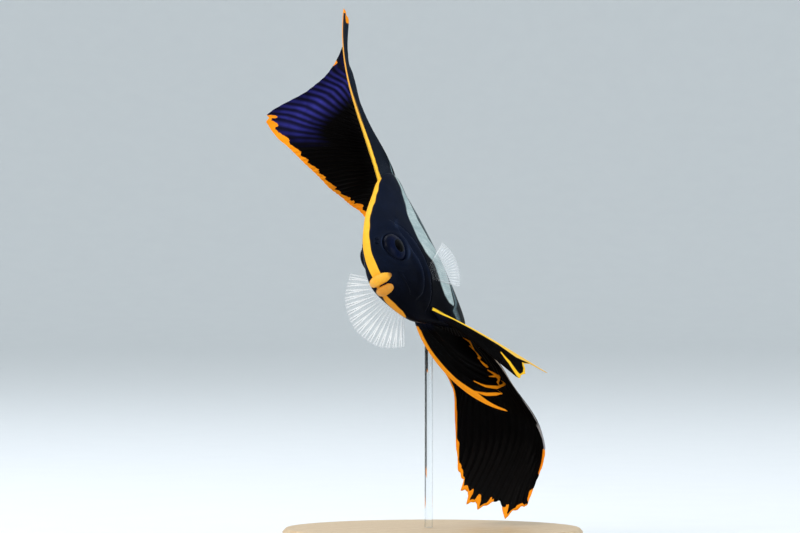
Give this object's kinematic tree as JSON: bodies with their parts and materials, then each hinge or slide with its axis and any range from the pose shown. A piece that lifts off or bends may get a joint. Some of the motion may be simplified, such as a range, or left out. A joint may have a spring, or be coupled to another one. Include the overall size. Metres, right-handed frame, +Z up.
{
  "type": "pinnate batfish model",
  "caption": "Life-size still model of a young deep-bodied reef fish with tall sail fins, banking as it turns, held on a round base by one upright rod.",
  "frame": {"origin": "centre of the round base, at the level of the floor", "axes": "+Z up; the fish's nose points towards -Y, its left side towards +X, and it leans over with its back towards -X"},
  "size_m": [0.1192, 0.11, 0.1999],
  "materials": {
    "skin": "blue-black skin with a pale band behind the gill cover, satin",
    "lips": "amber lips, soft satin",
    "eyes": "polished dark eye",
    "dark_fins": "black fin membrane with an orange margin, satin",
    "clear_fins": "clear fin membrane with white rays",
    "stand_base": "planed and oiled maple",
    "stand_rod": "clear polished acrylic rod"
  },
  "bodies": {
    "root": {"head": "skin", "trunk": "skin", "tail_peduncle": "skin", "lip_upper": "lips", "lip_lower": "lips", "eye_left": "eyes", "eye_right": "eyes", "dorsal_fin_front": "dark_fins", "dorsal_fin_hind": "dark_fins", "anal_fin_front": "dark_fins", "anal_fin_hind": "dark_fins", "pelvic_fin_left": "dark_fins", "pelvic_fin_right": "dark_fins", "pectoral_fin_left": "clear_fins", "pectoral_fin_right": "clear_fins", "caudal_fin": "clear_fins", "stand_base": "stand_base", "stand_rod": "stand_rod"}
  },
  "joints": []
}
